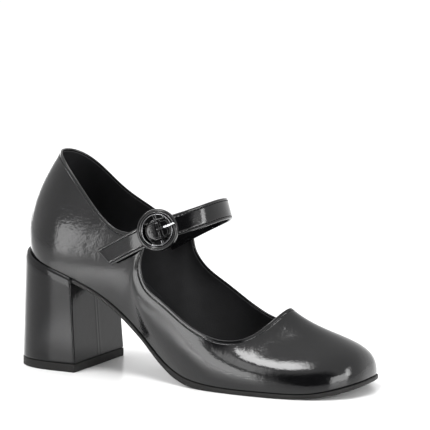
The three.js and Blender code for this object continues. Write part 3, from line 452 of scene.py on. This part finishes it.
def ring_profile():
    """(r, z) round the ring: a padded dome outside, a crease, and a thin lip inside"""
    R, r, z0, h = RING_OUT, RING_IN, RING_BASE, RING_HEIGHT; a = np.linspace(-0.12, 1.0, 26) * np.pi
    mid, half = (R + r + 0.75) / 2, (R - r - 0.75) / 2
    dome = np.stack([mid + half * np.cos(a), z0 + h * 0.42 + (h * 0.58) * np.maximum(np.sin(a), -0.3) * 1.0], -1)
    lip_a = np.linspace(0.15, 1.15, 9) * np.pi; lip = np.stack([r + 0.36 + 0.36 * np.cos(lip_a), z0 + h * 0.66 + 0.36 * np.sin(lip_a)], -1)
    under = np.array([[r + 0.05, z0 + h * 0.45], [r + 0.1, z0 + 0.5], [r + 0.5, z0 + 0.05], [mid, z0], [R - 0.6, z0 + 0.02], [R - 0.12, z0 + 0.5]])
    return np.vstack([dome, lip, under])
RP = ring_profile(); NR = 168; t = 2 * np.pi * np.arange(NR) / NR
P_r = in_buckle(RP[None, :, 0] * np.cos(t)[:, None], np.broadcast_to(RP[None, :, 1], (NR, len(RP))), RP[None, :, 0] * np.sin(t)[:, None])
hoop("buckle_ring", P_r, M_RING, "patent_buckle", ("buckle",))
la = 2 * np.pi * np.arange(14) / 14; lr, lz = RING_IN + 0.40 + 0.38 * np.cos(la), RING_BASE + RING_HEIGHT * 0.80 + 0.38 * np.sin(la)     # fine bright lip round the opening
hoop("ring_lip", in_buckle(lr[None] * np.cos(t)[:, None], np.broadcast_to(lz[None], (NR, 14)), lr[None] * np.sin(t)[:, None]), M_LIP, "patent_buckle")
def rod(name, rows, mat, mslot, reps=(), m=20, axis="c"):
    """round bar through rows (s, n, c, radius) in the buckle's frame"""
    rows = np.array(rows, float); a = 2 * np.pi * np.arange(m) / m; P = []
    for s, n, c, r in rows:
        if axis == "c": P.append(in_buckle(s + r * np.cos(a), n + r * np.sin(a), np.full(m, c)))
        else: P.append(in_buckle(np.full(m, s), n + r * np.sin(a), c + r * np.cos(a)))
    P = np.array(P); P = P[:, ::-1] if axis == "c" else P
    return loft_mesh(name, P, mat, mslot, reps)
Lb = RING_OUT - 1.2
rod("buckle_bar", [(0, BAR_N, c, r) for c, r in ((-Lb, 0.3), (-Lb + 0.2, 0.8), (-Lb + 0.6, BAR_R), (0, BAR_R), (Lb - 0.6, BAR_R), (Lb - 0.2, 0.8), (Lb, 0.3))], M_BAR, "prong_metal", ("buckle",))
pr = Spline([0, 3, 6, 8.4, 10.4, 11.4], [[5.65, .60], [5.4, .68], [5.2, .68], [5.4, .66], [5.62, .58], [5.6, .42]])
rows = [(4.62, float(pr(4.62)[0]), 0, .2)] + [(x, *[float(pr(x)[0]), 0, float(pr(x)[1])]) for x in np.linspace(4.72, 11.2, 24)] + [(11.5, 5.59, 0, .28), (11.6, 5.59, 0, .1)]
rod("buckle_tongue", rows, M_METAL, "prong_metal", ("buckle_prong",), 18, "s")
rows = [(0.1, 5.62, 0, .2), (0.22, 5.62, 0, .42), (0.5, 5.6, 0, .62)] + [(x, float(pr(x)[0]) + 0.02, 0, 0.70 + 0.06 * math.sin(x * 0.8)) for x in np.linspace(0.9, 4.2, 16)] + [(4.45, 5.33, 0, .62), (4.55, 5.33, 0, .3)]
rod("tongue_cover", rows, M_RING, "patent", (), 18, "s")
TAB = [(-24.0, -6.9), (-20.0, -6.8), (-16.0, -6.5), (-12.5, -6.1), (-9.5, -5.3), (-6.8, -3.9), (-4.2, -2.3)]
ang = np.linspace(-100, 178, 22) * np.pi / 180; rm = BAR_R + GAP + 0.45
mid = np.array(TAB + [(rm * math.cos(a), BAR_N + rm * math.sin(a)) for a in ang]); ds = np.r_[0, np.cumsum(np.linalg.norm(np.diff(mid, axis=0), axis=1))]
tb = Spline(ds, mid); q = np.linspace(0, ds[-1], 130); m2 = tb(q); tg = unit(tb(q + 0.05) - tb(q - 0.05)); no = np.stack([-tg[:, 1], tg[:, 0]], -1)
hh = 0.44 + 0.25 * smooth(1 - (q - 17) / 5)
a = np.linspace(0, 2 * np.pi, 29)[:-1]; cs = 4.5 * np.sign(np.cos(a)) * np.abs(np.cos(a)) ** 0.35; ns_ = np.sign(np.sin(a)) * np.abs(np.sin(a)) ** 0.6
S2 = m2[:, None, 0] + no[:, None, 0] * ns_[None] * hh[:, None]; N2 = m2[:, None, 1] + no[:, None, 1] * ns_[None] * hh[:, None]; C2 = np.broadcast_to(cs[None], S2.shape)
fb = np.clip((S2 + 7) / 4, 0, 1)[..., None]; P_t = beside_strap(STRAP_BUCKLE + S2, C2, N2) * (1 - fb) + in_buckle(S2, N2, C2) * fb
loft_mesh("buckle_tab_leather", P_t[:, ::-1], M_STRAP, "patent", ("buckle_tab",))
# punched holes in the strap, each a small dark-lined dimple with a pressed rim
def punch(name, s0):
    prof = np.array([(0.05, -0.02), (0.50, 0.0), (0.62, 0.06), (0.80, 0.12), (1.02, 0.08), (1.16, -0.06), (1.05, -0.25), (0.4, -0.3), (0.05, -0.3)]); m = 28; a = 2 * np.pi * np.arange(m) / m
    P = strap_at(s0 + prof[None, :, 0] * np.cos(a)[:, None], prof[None, :, 0] * np.sin(a)[:, None], TH + np.broadcast_to(prof[None, :, 1], (m, len(prof))))
    return hoop(name, P[::-1], M_STRAP, "patent")
for k, s0 in enumerate((-3.4,)): punch("strap_hole_%d" % k, STRAP_BUCKLE + s0)

# ------------------------------------------------------------------ studio
def look(o, target): o.rotation_euler = (Vector(target) - o.location).to_track_quat("-Z", "Y").to_euler()
def softbox(name, az, el, dist, sx, sy, power, tgt=(0, 0, 0.05), col=(1, 1, 1)):
    L = bpy.data.lights.new(name, "AREA"); L.shape = "RECTANGLE"; L.size, L.size_y, L.energy, L.color = sx, sy, power, col
    o = bpy.data.objects.new(name, L); a, e = math.radians(az), math.radians(el)
    o.location = Vector(tgt) + dist * Vector((math.sin(a) * math.cos(e), -math.cos(a) * math.cos(e), math.sin(e)))
    bpy.context.scene.collection.objects.link(o); look(o, tgt); return o
AZ, EL, DIST = 27.4, 7.8, 1.3
TGT = Vector(((125.8 - 112.5) / 1000, 0, 0.0969))
cam = bpy.data.cameras.new("camera"); cam.lens = 2207 / 430 * 36; cam.sensor_width = 36; cam.clip_start = 0.05; cam.clip_end = 50
co = bpy.data.objects.new("camera", cam); bpy.context.scene.collection.objects.link(co); bpy.context.scene.camera = co
a, e = math.radians(AZ), math.radians(EL)
co.location = TGT + DIST * Vector((math.sin(a) * math.cos(e), -math.cos(a) * math.cos(e), math.sin(e))); look(co, TGT)
me = bpy.data.meshes.new("floor"); me.from_pydata([(-9, -9, 0), (9, -9, 0), (9, 9, 0), (-9, 9, 0)], [], [(0, 1, 2, 3)]); fl = bpy.data.objects.new("floor", me)
bpy.context.scene.collection.objects.link(fl); fm, nt, b, tc = new_mat("floor_white"); b.inputs["Base Color"].default_value = (0.95, 0.95, 0.95, 1); b.inputs["Roughness"].default_value = 0.22
b.inputs["Specular IOR Level"].default_value = 0.3; me.materials.append(fm)
w = bpy.data.worlds.new("studio"); bpy.context.scene.world = w; w.use_nodes = True; nt = w.node_tree; nt.nodes.clear()
out = nt.nodes.new("ShaderNodeOutputWorld"); bg = nt.nodes.new("ShaderNodeBackground"); tc = nt.nodes.new("ShaderNodeTexCoord")
dp = nt.nodes.new("ShaderNodeVectorMath"); dp.operation = "DOT_PRODUCT"; nt.links.new(tc.outputs["Generated"], dp.inputs[0])
da, de = math.radians(25), math.radians(22)                        # the studio is pale all round, with one unlit side in front
dp.inputs[1].default_value = (math.sin(da) * math.cos(de), -math.cos(da) * math.cos(de), math.sin(de))
rp = ramp(nt, dp.outputs["Value"], 0.79, 0.90, (1.0, 1.0, 1.0), (0.02, 0.02, 0.021))
nt.links.new(rp.outputs[0], bg.inputs[0]); bg.inputs[1].default_value = 1.12; nt.links.new(bg.outputs[0], out.inputs[0])
softbox("front_left", -25.2, 9.0, 0.71, 0.36, 0.225, 1.6, (0, 0, 0.0))
softbox("front_strip", -14, 38, 0.95, 0.16, 0.5, 0.8)
softbox("back_left", -125, 7, 1.4, 0.7, 0.36, 2.2)
softbox("right", 89, 20, 1.2, 0.22, 0.5, 3.2, (0, 0, 0.08))
softbox("toe_right", 68, 12, 0.75, 0.50, 0.34, 3.7, (0.09, 0, 0.03))
pool = softbox("table", 0, 88, 0.5, 0.19, 0.17, 0.72); pool.location = (-0.09, -0.215, 0.5); pool.rotation_euler = (0, 0, 0); pool.data.spread = math.radians(16)     # gridded box on the table in front
over = softbox("overhead", -12, 72, 1.25, 0.38, 0.48, 9.5); over.rotation_euler = (0, 0, math.radians(30)); over.location = (-0.145, -0.33, 1.2)
bpy.context.scene.view_settings.view_transform = "Standard"
